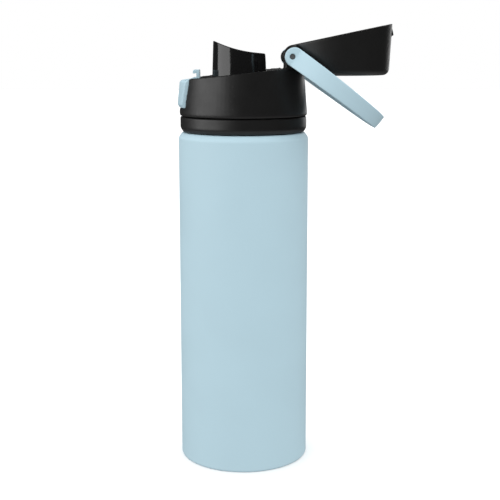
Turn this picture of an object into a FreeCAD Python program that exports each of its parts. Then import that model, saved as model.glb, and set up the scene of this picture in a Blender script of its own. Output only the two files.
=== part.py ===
"""Insulated drinks bottle with a flip cap, a chug spout, a push latch and a folding carry handle.

Frame: millimetres, origin at the centre of the base, +Z up, +X towards the hinge, +Y to the far side.
The cap and the handle are drawn shut over the lid, then turned about the hinge pin to the stored
pose: cap thrown open on its stop, handle hanging behind the lid.
"""

import FreeCAD, Part
import math
import os

import Sketcher

# Each driving dimension has a cell in the sheet: name, value, what it measures.
DIMENSIONS = [
    ("body_radius", 36.5, "outer radius of the bottle"),
    ("body_height", 187.8, "top of the shoulder"),
    ("shell_wall", 0.6, "wall of the outer shell"),
    ("shoulder_drop", 2.8, "height of the shoulder bevel"),
    ("shoulder_inset", 2.1, "width of the shoulder bevel"),
    ("base_lip", 3.5, "width of the lip turned in under the base"),
    ("base_round", 1.3, "rounding of the base edge"),
    ("weld_gap", 0.1, "gap between parts that are welded or glued"),
    ("vacuum_gap", 3.0, "gap between the shell and the liner"),
    ("liner_wall", 0.5, "wall of the inner liner"),
    ("liner_floor", 7.0, "underside of the liner's floor"),
    ("liner_shoulder", 8.0, "height of the liner's conical shoulder"),
    ("liner_corner", 3.6, "rounding of the liner's floor"),
    ("plate_skirt", 3.0, "height of the base plate's upturned edge"),
    ("dimple_margin", 2.0, "room around the solder bead in its dimple"),
    ("dimple_rise", 1.2, "height of the dimple in the base plate"),
    ("neck_radius", 27.0, "outer radius of the neck under its thread"),
    ("neck_wall", 1.0, "wall of the threaded neck"),
    ("neck_height", 15.2, "lip of the neck above the shoulder"),
    ("thread_pitch", 4.0, "pitch of the screw thread"),
    ("thread_turns", 1.25, "turns of thread"),
    ("thread_depth", 1.1, "height of a thread ridge"),
    ("thread_root", 1.5, "width of a thread ridge at its root"),
    ("thread_crest", 0.8, "width of a thread ridge at its crest"),
    ("thread_rise", 5.0, "first turn of thread above the shoulder"),
    ("thread_bite", 0.3, "how deep a ridge is rooted in its wall"),
    ("thread_start", 37.0, "angle where the thread starts, degrees"),
    ("thread_play", 0.45, "radial play between the two threads"),
    ("lid_gap", 0.35, "gap between the shoulder and the lid"),
    ("collar_radius", 35.5, "outer radius of the lower lid ring"),
    ("collar_height", 8.4, "height of the lower lid ring"),
    ("collar_bevel_width", 1.4, "width of the bevel under the lower ring"),
    ("collar_bevel_height", 2.4, "height of the bevel under the lower ring"),
    ("groove_height", 0.5, "shadow groove between the two lid rings"),
    ("spigot_height", 4.2, "part of the lower ring that centres the housing"),
    ("sleeve_wall", 1.85, "wall of the threaded sleeve"),
    ("belt_radius", 35.9, "widest radius of the housing"),
    ("belt_rise", 1.5, "height of the widest line above the groove"),
    ("belt_inset", 0.4, "how far the housing's foot lies inside its widest line"),
    ("blank_rise", 8.0, "height of the housing's blank above the deck"),
    ("deck_radius", 34.0, "radius of the housing at the deck"),
    ("deck_rise", 32.55, "deck above the shoulder, on the axis"),
    ("deck_slope", 0.1069, "rise of the deck for each millimetre towards the hinge"),
    ("deck_thickness", 2.4, "thickness of the deck"),
    ("housing_wall", 2.2, "wall of the housing"),
    ("rim_height", 0.6, "raised rim around the deck"),
    ("rim_width", 0.8, "width of that rim"),
    ("rim_end", 22.0, "where the rim stops before the hinge"),
    ("base_disc", 2.0, "thickness of the lid's inner disc"),
    ("skirt_play", 0.5, "gap between the mouth and the skirt inside it"),
    ("skirt_wall", 2.0, "wall of that skirt"),
    ("skirt_height", 4.7, "height of that skirt"),
    ("gasket_thickness", 1.1, "mouth gasket"),
    ("gasket_bore_play", 0.2, "gap between the skirt and the mouth gasket"),
    ("gasket_edge_play", 0.3, "gap between the mouth gasket and the sleeve"),
    ("face_gap", 0.05, "gap between two flat faces that seal"),
    ("pin_x", 26.0, "hinge pin, distance from the axis"),
    ("pin_rise", 41.8, "hinge pin above the shoulder"),
    ("pin_radius", 1.5, "hinge pin"),
    ("pin_recess", 0.8, "how far the pin's end lies below the handle's eye"),
    ("pin_play", 0.05, "radial play of what turns on the pin"),
    ("tower_play", 0.02, "radial play of the pin in the hinge tower"),
    ("tower_front", 3.1, "front of the hinge tower ahead of the pin"),
    ("tower_back", 5.6, "back of the hinge tower behind the pin"),
    ("tower_half", 11.9, "half-width of the hinge tower"),
    ("side_play", 0.4, "sideways play beside the hinge tower"),
    ("cap_mouth_radius", 32.0, "cap radius at its mouth"),
    ("cap_mouth_centre", 26.5, "cap centre from the pin, at the mouth"),
    ("cap_draft", 0.149, "inward slope of the cap's wall"),
    ("cap_lean", 6.5, "backward lean of the cap's wall, degrees"),
    ("cap_depth", 30.0, "height of the drafted wall before it is cut"),
    ("cap_seat", 6.0, "mouth plane below the pin"),
    ("cap_roof", 10.42, "roof above the pin"),
    ("cap_roof_slope", 0.2107, "rise of the roof for each millimetre forward"),
    ("cap_wall", 2.0, "wall of the cap"),
    ("cap_round", 3.6, "rounding of the cap's top edge"),
    ("knuckle_radius", 6.47, "rounded back of the cap"),
    ("knuckle_forward", 3.22, "centre of that round, ahead of the pin"),
    ("knuckle_share", 0.75, "height where that round ends, as a share of its radius"),
    ("knuckle_inset", 1.9, "end of that round, ahead of its rearmost point"),
    ("slope_foot", 2.9, "foot of the cap's back slope, ahead of the round's centre"),
    ("slope_drop", 0.4, "foot of that slope, below the round's radius"),
    ("slope_top", 10.2, "top of that slope, ahead of the pin"),
    ("ear_boss_radius", 3.6, "boss on each cap ear"),
    ("ear_half", 21.1, "outer face of each cap ear"),
    ("ear_depth", 11.4, "solid back of the cap, ahead of the pin"),
    ("inside_bevel", 1.6, "bevel inside the cap between its back and its roof"),
    ("eye_room", 1.6, "room in the cap around the handle's eyes"),
    ("notch_depth", 9.4, "notch in the cap for the tower, ahead of the pin"),
    ("catch_half", 7.0, "half-width of the catch inside the cap"),
    ("nub_forward", 58.4, "front of the nub on the cap, from the pin"),
    ("nub_depth", 3.0, "front of that nub to its root"),
    ("nub_drop", 1.3, "middle of that nub below the pin"),
    ("nub_height", 3.6, "height of that nub"),
    ("nub_half", 5.0, "half-width of that nub"),
    ("handle_inner", 33.7, "inner radius of the handle's bow"),
    ("handle_strap", 3.0, "thickness of the strap"),
    ("handle_centre", 26.1, "centre of the bow from the pin"),
    ("handle_eye", 5.2, "radius of the handle's eye"),
    ("handle_tip_half", 4.1, "half-width of the strap at its tip"),
    ("handle_offset", 0.5, "strap centre line below the pin, folded over"),
    ("handle_reach", 62.3, "tip of the handle from the pin"),
    ("handle_skew", 0.25, "skew of the tip's end face"),
    ("bow_blank", 60.0, "height of the ring that the handle's strap is cut from"),
    ("eye_forward", 1.1, "centre of the eye's round ahead of the pin"),
    ("eye_half", 22.0, "inner face of each handle eye"),
    ("eye_pad", 5.6, "thickness of each handle eye"),
    ("washer_radius", 4.2, "spacer washer on the pin"),
    ("washer_play", 0.1, "play beside each spacer washer"),
    ("cap_swing", 174.2, "angle from shut to open, cap"),
    ("handle_swing", 222.7, "angle from folded over to hanging, handle"),
    ("spout_centre", -1.9, "middle of the spout along X"),
    ("spout_length", 15.9, "half-length of the spout at its foot"),
    ("spout_width", 14.3, "half-width of the spout at its foot"),
    ("spout_draft", 1.7, "how much each half-size shrinks up to the top"),
    ("spout_lean", 0.6, "how far the spout's middle shifts forward up to the top"),
    ("spout_top_rise", 54.2, "top of the blank that the rim is cut from, above the shoulder"),
    ("sleeve_drop", 1.5, "top of the sleeve around the spout, below the deck"),
    ("spout_wall", 2.0, "wall of the spout"),
    ("spout_flange", 2.4, "width of the spout's flange"),
    ("flange_height", 2.0, "height of the spout's flange"),
    ("spout_gasket", 1.0, "thickness of the seal under the spout"),
    ("spout_play", 0.15, "gap around the spout in the deck"),
    ("rim_arc_radius", 68.3, "radius of the drinking rim's hollow"),
    ("rim_low_x", 13.3, "lowest point of the drinking rim along X"),
    ("rim_low_rise", 43.7, "height of that lowest point above the shoulder"),
    ("seal_gap", 0.3, "gap between the rim and the cap's seal"),
    ("seal_thickness", 2.6, "thickness of the cap's seal"),
    ("seal_overlap", 0.7, "how far the seal reaches past the rim"),
    ("carrier_wall", 2.0, "wall of the ring that carries the seal"),
    ("carrier_play", 0.4, "gap between that ring and the cap's solid back"),
    ("carrier_blank", 6.0, "height of that ring's blank above the spout's blank"),
    ("latch_top_half", 17.0, "half-width of the latch button at its top"),
    ("latch_foot_half", 14.4, "half-width of the latch button at its foot"),
    ("latch_foot_rise", 13.85, "foot of the latch button above the shoulder"),
    ("latch_top_rise", 0.1, "top of the button above the deck's edge"),
    ("window_depth", 3.0, "depth of the button's window from the deck's edge"),
    ("latch_proud", 1.35, "how far the button stands out of the housing"),
    ("latch_plate", 3.6, "thickness of the button"),
    ("latch_bevel", 1.1, "bevel along the button's top and foot"),
    ("latch_foot_bevel", 1.76, "height of the bevel at the button's foot"),
    ("latch_travel", 2.0, "travel of the button"),
    ("latch_gap", 0.35, "gap around the button"),
    ("arm_half", 8.0, "half-width of the latch arm"),
    ("arm_depth", 1.4, "depth of the latch arm below the deck"),
    ("arm_step", 0.9, "height of the latch arm above the deck at its hook"),
    ("arm_root", 0.5, "root of the arm inside the deck's edge"),
    ("arm_ramp", 3.1, "length of the arm's first rise"),
    ("arm_ramp_rise", 0.45, "height of the arm above the deck after that rise"),
    ("slot_play", 0.8, "room behind the hook at the end of its travel"),
    ("hook_back", -24.3, "back of the hook"),
    ("hook_neck", 1.8, "thickness of the hook's neck"),
    ("hook_nose", 1.9, "reach of the hook's nose"),
    ("hook_top_rise", 34.6, "top of the hook above the shoulder"),
    ("hook_lip", 2.0, "height of the hook's nose"),
    ("hook_bevel", 0.5, "bevel on the hook's nose"),
    ("hook_relief", 0.7, "bevel in the corner under the hook's nose"),
    ("hook_bite", 1.35, "overlap of the catch under the hook"),
    ("spring_radius", 2.3, "coil radius of the latch spring"),
    ("spring_wire", 0.6, "wire of the latch spring"),
    ("spring_turns", 4.0, "turns of the latch spring"),
    ("spring_rise", 23.2, "latch spring above the shoulder"),
    ("spring_length", 7.5, "length of the latch spring at rest"),
    ("spring_play", 0.1, "play at each end of the latch spring"),
    ("rib_thickness", 1.8, "rib that the spring pushes against"),
    ("rib_margin", 3.0, "rib beside the latch arm"),
    ("rib_drop", 3.5, "foot of the rib below the spring"),
    ("getter_radius", 6.0, "getter capsule"),
    ("getter_height", 2.4, "getter capsule"),
    ("getter_bevel", 0.6, "bevel on the getter capsule"),
    ("plug_radius", 3.0, "solder bead that seals the vacuum"),
    ("plug_height", 0.9, "height of that bead"),
    ("plug_face_radius", 1.8, "flat on the face of that bead"),
    ("plug_edge", 0.3, "height of that bead at its edge"),
]

doc = FreeCAD.newDocument("drinks_bottle")
sheet = doc.addObject("Spreadsheet::Sheet", "Sizes")
for row, (alias, amount, meaning) in enumerate(DIMENSIONS, start=1):
    sheet.set(f"A{row}", alias)
    sheet.set(f"B{row}", str(amount))
    sheet.set(f"C{row}", meaning)
    sheet.setAlias(f"B{row}", alias)
doc.recompute()


class Size:
    """A length that carries its number and its sheet expression through sums and products."""

    def __init__(self, number, text):
        self.number = number
        self.text = text

    def joined(self, other, sign, number):
        other_text = other.text if isinstance(other, Size) else repr(other)
        return Size(number, f"({self.text} {sign} {other_text})")

    def __add__(self, other):
        return self.joined(other, "+", self.number + number_of(other))

    def __sub__(self, other):
        return self.joined(other, "-", self.number - number_of(other))

    def __mul__(self, other):
        return self.joined(other, "*", self.number * number_of(other))

    def __truediv__(self, other):
        return self.joined(other, "/", self.number / number_of(other))

    def __neg__(self):
        return Size(-self.number, f"(0 - {self.text})")


def number_of(value):
    return value.number if isinstance(value, Size) else float(value)


class Sizes:
    """The sheet's cells as attributes."""


size = Sizes()
for alias, amount, meaning in DIMENSIONS:
    setattr(size, alias, Size(float(sheet.get(alias)), f"Sizes.{alias}"))


def bind(item, **properties):
    """Ties properties of a document object to sheet expressions."""
    for name, value in properties.items():
        if isinstance(value, Size):
            item.setExpression(name, value.text)
        else:
            setattr(item, name, value)
    return item


def place(item, x=0.0, y=0.0, z=0.0):
    """Ties an object's position to the sheet, where it isn't turned."""
    for axis, value in (("x", x), ("y", y), ("z", z)):
        if isinstance(value, Size):
            item.setExpression(f"Placement.Base.{axis}", value.text)
    item.Placement.Base = FreeCAD.Vector(number_of(x), number_of(y), number_of(z))
    return item


def origin_plane(body, role):
    return next(item for item in body.Origin.OriginFeatures if item.Role == role)


def outline(body, name, role, corners):
    """A closed straight-sided sketch on one of the body's planes, each corner tied to the sheet."""
    sketch = body.newObject("Sketcher::SketchObject", name)
    sketch.AttachmentSupport = [(origin_plane(body, role), "")]
    sketch.MapMode = "FlatFace"
    points = [FreeCAD.Vector(number_of(x), number_of(y), 0) for x, y in corners]
    for index, point in enumerate(points):
        following = points[(index + 1) % len(points)]
        sketch.addGeometry(Part.LineSegment(point, following), False)
    for index, (x, y) in enumerate(corners):
        sketch.addConstraint(
            Sketcher.Constraint("Coincident", index, 2, (index + 1) % len(points), 1)
        )
        for kind, value in (("DistanceX", x), ("DistanceY", y)):
            place_at = sketch.addConstraint(
                Sketcher.Constraint(kind, -1, 1, index, 1, number_of(value))
            )
            if isinstance(value, Size):
                sketch.setExpression(f"Constraints[{place_at}]", value.text)
    return sketch


def new_body(name):
    return doc.addObject("PartDesign::Body", name)


def turned(name, corners):
    """A ring or a cup: the outline in the XZ plane, turned about Z."""
    body = new_body(name)
    sketch = outline(body, f"{name}_profile", "XZ_Plane", corners)
    turn = body.newObject("PartDesign::Revolution", f"{name}_turn")
    turn.Profile = sketch
    turn.ReferenceAxis = (sketch, ["V_Axis"])
    turn.Angle = 360.0
    doc.recompute()
    return body


def slab(name, role, corners, width):
    """A straight-sided outline padded to both sides of its plane."""
    body = new_body(name)
    sketch = outline(body, f"{name}_profile", role, corners)
    pad = body.newObject("PartDesign::Pad", f"{name}_pad")
    pad.Profile = sketch
    pad.SideType = "Symmetric"
    bind(pad, Length=width)
    doc.recompute()
    return body


def rounded_rings(body, rings, radius):
    """Rounds the circular edges of a turned body, each given by its radius and height."""
    names = []
    for index, edge in enumerate(body.Shape.Edges, start=1):
        if not isinstance(edge.Curve, Part.Circle):
            continue
        for ring, height in rings:
            close = abs(edge.Curve.Radius - ring) < 1e-3
            if close and abs(edge.Curve.Center.z - height) < 1e-3:
                names.append(f"Edge{index}")
    before = body.Tip
    fillet = body.newObject("PartDesign::Fillet", f"{body.Name}_round")
    fillet.Base = (before, names)
    bind(fillet, Radius=radius)
    doc.recompute()
    return body


def boolean(kind, name, base, tool):
    result = doc.addObject(f"Part::{kind}", name)
    result.Base = base
    result.Tool = tool
    doc.recompute()
    return result


def cut(name, base, *tools):
    for number, tool in enumerate(tools, start=1):
        base = boolean("Cut", name if number == len(tools) else f"{name}_step{number}", base, tool)
    return base


def common(name, base, tool):
    return boolean("Common", name, base, tool)


def fused(name, *pieces):
    result = doc.addObject("Part::MultiFuse", name)
    result.Shapes = list(pieces)
    result.Refine = True
    doc.recompute()
    return result


def block(name, low, high):
    """A box between two corners that are tied to the sheet."""
    item = doc.addObject("Part::Box", name)
    spans = [top - bottom if isinstance(top, Size) else Size(number_of(top), repr(top)) - bottom
             for bottom, top in zip(low, high)]
    bind(item, Length=spans[0], Width=spans[1], Height=spans[2])
    return place(item, *low)


def drum(name, radius, half_width, x, z):
    """A cylinder along Y, centred on the middle plane."""
    item = doc.addObject("Part::Cylinder", name)
    bind(item, Radius=radius, Height=half_width * 2)
    item.Placement.Rotation = FreeCAD.Rotation(FreeCAD.Vector(1, 0, 0), 90)
    for axis, value in (("x", x), ("y", half_width), ("z", z)):
        item.setExpression(f"Placement.Base.{axis}", value.text)
    return item


def oval_tube(name, shrink, low, high):
    """The spout's tapering oval, smaller all round by a given amount, between two heights."""
    share_low = (low - spout_foot) / spout_rise
    share_high = (high - spout_foot) / spout_rise
    rings = []
    for tag, share, height in (("low", share_low, low), ("high", share_high, high)):
        ring = doc.addObject("Part::Ellipse", f"{name}_{tag}")
        bind(
            ring,
            MajorRadius=size.spout_length - size.spout_draft * share - shrink,
            MinorRadius=size.spout_width - size.spout_draft * share - shrink,
        )
        place(ring, size.spout_centre - size.spout_lean * share, 0.0, height)
        rings.append(ring)
    tube = doc.addObject("Part::Loft", name)
    tube.Sections = rings
    tube.Solid = True
    tube.Ruled = True
    doc.recompute()
    return tube


def ridge(name, root_radius, outward, start_z):
    """A helical ridge of the lid's thread, standing out of or into a round wall."""
    inner = root_radius - size.thread_bite.number * outward
    outer = root_radius + size.thread_depth.number * outward
    half_root = size.thread_root.number / 2
    half_crest = size.thread_crest.number / 2
    corners = [(inner, -half_root), (outer, -half_crest), (outer, half_crest), (inner, half_root)]
    points = [FreeCAD.Vector(r, 0, start_z + z) for r, z in corners]
    profile = Part.makePolygon(points + points[:1])
    pitch = size.thread_pitch.number
    helix = Part.makeHelix(pitch, pitch * size.thread_turns.number, root_radius)
    helix.translate(FreeCAD.Vector(0, 0, start_z))
    item = doc.addObject("Part::Feature", name)
    item.Shape = Part.Wire(helix).makePipeShell([profile], True, True)
    turn = FreeCAD.Rotation(FreeCAD.Vector(0, 0, 1), size.thread_start.number)
    item.Placement = FreeCAD.Placement(FreeCAD.Vector(), turn)
    return item


def deck_at(x):
    """Height of the slanting deck at a place along X."""
    return deck_height + size.deck_slope * x


def shut_frame():
    """Pin as origin, local X forward along the deck, local Z out of the cap's roof."""
    lean = math.degrees(math.atan(size.deck_slope.number))
    level = FreeCAD.Rotation(FreeCAD.Vector(0, 0, 1), 180)
    tilt = FreeCAD.Rotation(FreeCAD.Vector(0, -1, 0), lean)
    pin = FreeCAD.Vector(size.pin_x.number, 0, pin_z.number)
    return FreeCAD.Placement(pin, tilt * level)


def in_shut_frame(item):
    """Puts a piece drawn in the shut frame over the lid."""
    item.Placement = shut_frame()
    doc.recompute()
    return item


def forward_of(x, z):
    """A place's distance from the pin along the shut frame's X."""
    return (size.pin_x - x) * lean_cos + (pin_z - z) * lean_sin


def above_of(x, z):
    """A place's distance from the pin along the shut frame's Z."""
    return (size.pin_x - x) * lean_sin - (pin_z - z) * lean_cos


def swing(item, angle):
    """Turns a piece drawn shut over the lid about the hinge pin, back from the lid."""
    pin = FreeCAD.Vector(size.pin_x.number, 0, pin_z.number)
    turn = FreeCAD.Rotation(FreeCAD.Vector(0, 1, 0), number_of(angle))
    item.Placement = FreeCAD.Placement(FreeCAD.Vector(), turn, pin).multiply(item.Placement)
    return item


finished = []


def keep(item, label):
    """Names a finished piece and puts it on the list that is written out."""
    item.Label = label
    finished.append(item)
    return item


# Places that several pieces share.
zero = Size(0.0, "0")
deck_height = size.body_height + size.deck_rise
pin_z = size.body_height + size.pin_rise
spout_top = size.body_height + size.spout_top_rise
rim_low_z = size.body_height + size.rim_low_rise
latch_foot_z = size.body_height + size.latch_foot_rise
hook_top = size.body_height + size.hook_top_rise
spring_z = size.body_height + size.spring_rise
neck_top = size.body_height + size.neck_height
collar_foot = size.body_height + size.lid_gap
collar_top = collar_foot + size.collar_height
housing_foot = collar_top + size.groove_height
sleeve_top = neck_top + size.gasket_thickness + size.face_gap * 2
disc_top = sleeve_top + size.base_disc
spout_foot = disc_top + size.spout_gasket
spout_rise = spout_top - spout_foot
thread_bore = size.neck_radius + size.thread_depth + size.thread_play
sleeve_radius = thread_bore + size.sleeve_wall
mouth_radius = size.neck_radius - size.neck_wall - size.weld_gap - size.liner_wall
skirt_radius = mouth_radius - size.skirt_play
latch_inner_x = -(size.belt_radius + size.latch_proud - size.latch_plate)
spring_top = spring_z + size.spring_radius + size.spring_wire

# What a cutting shape needs to reach past everything, and past the faces that it cuts.
wide = size.body_radius * 2
high = pin_z + size.body_radius
past = Size(1.0, "1")
lean_cos = Size(math.cos(math.atan(size.deck_slope.number)), "cos(atan(Sizes.deck_slope))")
lean_sin = Size(math.sin(math.atan(size.deck_slope.number)), "sin(atan(Sizes.deck_slope))")


# ---- Bottle -----------------------------------------------------------------------------------

def make_outer_shell():
    inner = size.body_radius - size.shell_wall
    shoulder = size.body_height - size.shoulder_drop
    top = size.body_radius - size.shoulder_inset
    weld = size.neck_radius + size.weld_gap
    body = turned("outer_shell_body", [
        (size.body_radius - size.base_lip, zero),
        (size.body_radius, zero),
        (size.body_radius, shoulder),
        (top, size.body_height),
        (weld, size.body_height),
        (weld, size.body_height - size.shell_wall),
        (top - size.shell_wall / 2, size.body_height - size.shell_wall),
        (inner, shoulder - size.shell_wall / 2),
        (inner, size.shell_wall),
        (size.body_radius - size.base_lip, size.shell_wall),
    ])
    rounded_rings(body, [(size.body_radius.number, 0.0)], size.base_round)
    shoulder_rings = [(size.body_radius.number, shoulder.number)]
    rounded_rings(body, shoulder_rings, size.shoulder_drop / 2)
    return keep(body, "outer_shell")


def make_base_plate():
    seat = size.shell_wall
    edge = size.body_radius - size.shell_wall - size.weld_gap
    floor = seat + size.shell_wall
    dimple = size.plug_radius + size.dimple_margin
    foot = dimple + size.dimple_rise
    body = turned("base_plate_body", [
        (zero, seat + size.dimple_rise),
        (dimple, seat + size.dimple_rise),
        (foot, seat),
        (edge, seat),
        (edge, floor + size.plate_skirt),
        (edge - size.shell_wall, floor + size.plate_skirt),
        (edge - size.shell_wall, floor),
        (foot, floor),
        (dimple, floor + size.dimple_rise),
        (zero, floor + size.dimple_rise),
    ])
    return keep(body, "base_plate")


def make_vacuum_plug():
    underside = size.shell_wall + size.dimple_rise
    body = turned("vacuum_plug_body", [
        (zero, underside - size.plug_height),
        (size.plug_face_radius, underside - size.plug_height),
        (size.plug_radius, underside - size.plug_edge),
        (size.plug_radius, underside),
        (zero, underside),
    ])
    return keep(body, "vacuum_plug")


def make_getter():
    body = turned("getter_body", [
        (zero, size.liner_floor - size.getter_height),
        (size.getter_radius - size.getter_bevel, size.liner_floor - size.getter_height),
        (size.getter_radius, size.liner_floor - size.getter_height + size.getter_bevel),
        (size.getter_radius, size.liner_floor),
        (zero, size.liner_floor),
    ])
    return keep(body, "getter_capsule")


def make_inner_liner():
    outer = size.body_radius - size.shell_wall - size.vacuum_gap
    inner = outer - size.liner_wall
    neck_outer = mouth_radius + size.liner_wall
    shoulder_top = size.body_height - size.shell_wall
    shoulder_foot = shoulder_top - size.liner_shoulder
    floor = size.liner_floor + size.liner_wall
    body = turned("inner_liner_body", [
        (zero, size.liner_floor),
        (outer, size.liner_floor),
        (outer, shoulder_foot),
        (neck_outer, shoulder_top),
        (neck_outer, neck_top),
        (mouth_radius, neck_top),
        (mouth_radius, shoulder_top - size.liner_wall / 2),
        (inner, shoulder_foot - size.liner_wall / 2),
        (inner, floor),
        (zero, floor),
    ])
    rounded_rings(body, [(inner.number, floor.number)], size.liner_corner - size.liner_wall)
    rounded_rings(body, [(outer.number, size.liner_floor.number)], size.liner_corner)
    return keep(body, "inner_liner")


def make_threaded_neck():
    foot = size.body_height - size.shell_wall
    body = turned("neck_wall_body", [
        (size.neck_radius - size.neck_wall, foot),
        (size.neck_radius, foot),
        (size.neck_radius, neck_top),
        (size.neck_radius - size.neck_wall, neck_top),
    ])
    start = size.body_height.number + size.thread_rise.number
    thread = ridge("neck_ridge", size.neck_radius.number, 1, start)
    return keep(fused("threaded_neck_solid", body, thread), "threaded_neck")


# ---- Lid --------------------------------------------------------------------------------------

def make_collar():
    spigot = size.belt_radius - size.belt_inset - size.housing_wall - size.weld_gap
    body = turned("collar_ring", [
        (thread_bore, collar_foot),
        (size.collar_radius - size.collar_bevel_width, collar_foot),
        (size.collar_radius, collar_foot + size.collar_bevel_height),
        (size.collar_radius, collar_top),
        (spigot, collar_top),
        (spigot, collar_top + size.spigot_height),
        (sleeve_radius, collar_top + size.spigot_height),
        (sleeve_radius, sleeve_top),
        (thread_bore, sleeve_top),
    ])
    start = size.body_height.number + size.thread_rise.number - size.thread_pitch.number / 2
    thread = ridge("collar_ridge", thread_bore.number, -1, start)
    return keep(fused("lid_collar_solid", body, thread), "lid_collar")


def make_lid_base():
    disc_edge = sleeve_radius - size.weld_gap
    inner = skirt_radius - size.skirt_wall
    blank = turned("lid_base_blank", [
        (zero, sleeve_top),
        (inner, sleeve_top),
        (inner, sleeve_top - size.skirt_height),
        (skirt_radius, sleeve_top - size.skirt_height),
        (skirt_radius, sleeve_top),
        (disc_edge, sleeve_top),
        (disc_edge, disc_top),
        (zero, disc_top),
    ])
    channel = oval_tube("lid_base_channel", size.spout_wall, sleeve_top - past, disc_top + past)
    return keep(cut("lid_base_solid", blank, channel), "lid_base")


def make_mouth_gasket():
    inner = skirt_radius + size.gasket_bore_play
    outer = thread_bore - size.gasket_edge_play
    foot = neck_top + size.face_gap
    body = turned("mouth_gasket_body", [
        (inner, foot),
        (outer, foot),
        (outer, foot + size.gasket_thickness),
        (inner, foot + size.gasket_thickness),
    ])
    return keep(body, "mouth_gasket")


def slanted_slab(name, offset):
    """Everything above a plane parallel to the deck."""
    low = deck_at(-wide) + offset
    raised = deck_at(wide) + offset
    corners = [(-wide, low), (wide, raised), (wide, high), (-wide, high)]
    return slab(name, "XZ_Plane", corners, wide * 2)


def housing_cone(name, inset, foot):
    """The housing's tapering outside, drawn in by an inset, from a foot height up past the deck."""
    belt = housing_foot + size.belt_rise
    taper = (size.belt_radius - size.deck_radius) / (deck_height - belt)
    top = deck_height + size.blank_rise
    return turned(name, [
        (zero, foot),
        (size.belt_radius - size.belt_inset - inset, foot),
        (size.belt_radius - inset, belt),
        (size.belt_radius - inset - taper * (top - belt), top),
        (zero, top),
    ])


def latch_prism(name, gap):
    """The button's outline seen from the front, wider at its top, as a prism along X."""
    top = deck_height + past * 2
    foot = latch_foot_z - gap
    top_half = size.latch_top_half + gap
    foot_half = size.latch_foot_half + gap
    return slab(name, "YZ_Plane", [
        (-foot_half, foot), (foot_half, foot), (top_half, top), (-top_half, top),
    ], wide * 2)


def make_housing():
    outer = housing_cone("housing_outer", zero, housing_foot)
    roofed = cut("housing_roofed", outer, slanted_slab("above_rim", size.rim_height))
    pocket = common("rim_pocket", housing_cone("rim_inside", size.rim_width, housing_foot),
                    slanted_slab("above_deck", zero))
    behind = common("rim_behind", slanted_slab("above_deck_back", zero),
                    block("rim_stop", (size.rim_end, -wide, zero), (wide, wide, high)))
    inner = housing_cone("housing_inner", size.housing_wall, housing_foot - past)
    cavity = cut("housing_cavity", inner, slanted_slab("above_cavity", -size.deck_thickness))
    shell = cut("housing_shell", roofed, pocket, behind, cavity)
    front = size.pin_x - size.tower_front
    back = size.pin_x + size.tower_back
    middle = (front + back) / 2
    tower = block("tower_block", (front, -size.tower_half, deck_at(front) - size.deck_thickness / 2),
                  (back, size.tower_half, pin_z))
    tower_top = drum("tower_top", (back - front) / 2, size.tower_half, middle, pin_z)
    sleeve_outer = oval_tube("sleeve_outer", -(size.spout_play + size.carrier_wall),
                             spout_foot + size.flange_height, deck_height - size.sleeve_drop)
    rib_front = latch_inner_x + size.spring_length
    rib_half = size.arm_half + size.rib_margin
    rib_top = deck_at(rib_front) - size.deck_thickness / 2
    rib = block("spring_rib", (rib_front, -rib_half, spring_z - size.rib_drop),
                (rib_front + size.rib_thickness, rib_half, rib_top))
    solid = fused("housing_fused", shell, tower, tower_top, sleeve_outer, rib)
    spout_hole = oval_tube("spout_hole", -size.spout_play, spout_foot - past, spout_top + past)
    pin_hole = drum("tower_bore", size.pin_radius + size.tower_play, wide / 2, size.pin_x, pin_z)
    keep_disc = doc.addObject("Part::Cylinder", "window_core")
    bind(keep_disc, Radius=size.deck_radius - size.window_depth, Height=high)
    front_half = block("window_half", (-wide, -wide, zero), (zero, wide, high))
    opening = common("window_front", latch_prism("window_prism", size.latch_gap), front_half)
    window = cut("latch_window", opening, keep_disc)
    slot = block("arm_slot",
                 (-size.deck_radius, -(size.arm_half + size.latch_gap), spring_top),
                 (size.hook_back + size.latch_travel + size.slot_play,
                  size.arm_half + size.latch_gap, high))
    return keep(cut("lid_housing_solid", solid, spout_hole, pin_hole, window, slot), "lid_housing")


def make_spout():
    outer = oval_tube("spout_outer", zero, spout_foot, spout_top)
    flange = oval_tube("spout_flange_ring", -size.spout_flange, spout_foot,
                       spout_foot + size.flange_height - size.face_gap)
    inner = oval_tube("spout_inner", size.spout_wall, spout_foot - past, spout_top + past)
    hollow = drum("rim_hollow", size.rim_arc_radius, wide / 2, size.rim_low_x,
                  rim_low_z + size.rim_arc_radius)
    solid = fused("spout_fused", outer, flange)
    return keep(cut("drinking_spout_solid", solid, inner, hollow), "drinking_spout")


def make_spout_gasket():
    outer = oval_tube("spout_gasket_outer", -size.spout_flange, disc_top, spout_foot)
    inner = oval_tube("spout_gasket_inner", size.spout_wall, disc_top - past, spout_foot + past)
    return keep(cut("spout_gasket_solid", outer, inner), "spout_gasket")


def make_pin():
    reach = size.eye_half + size.eye_pad - size.pin_recess
    pin = drum("hinge_pin_solid", size.pin_radius, reach, size.pin_x, pin_z)
    return keep(pin, "hinge_pin")


def make_washers():
    inner_face = size.ear_half + size.washer_play
    outer_face = size.eye_half - size.washer_play
    disc = drum("washer_disc", size.washer_radius, outer_face, size.pin_x, pin_z)
    between = drum("washer_between", size.washer_radius * 2, inner_face, size.pin_x, pin_z)
    bore = drum("washer_bore", size.pin_radius + size.pin_play, wide / 2, size.pin_x, pin_z)
    return keep(cut("pin_washers_solid", disc, between, bore), "pin_washers")


# ---- Latch ------------------------------------------------------------------------------------

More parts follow.
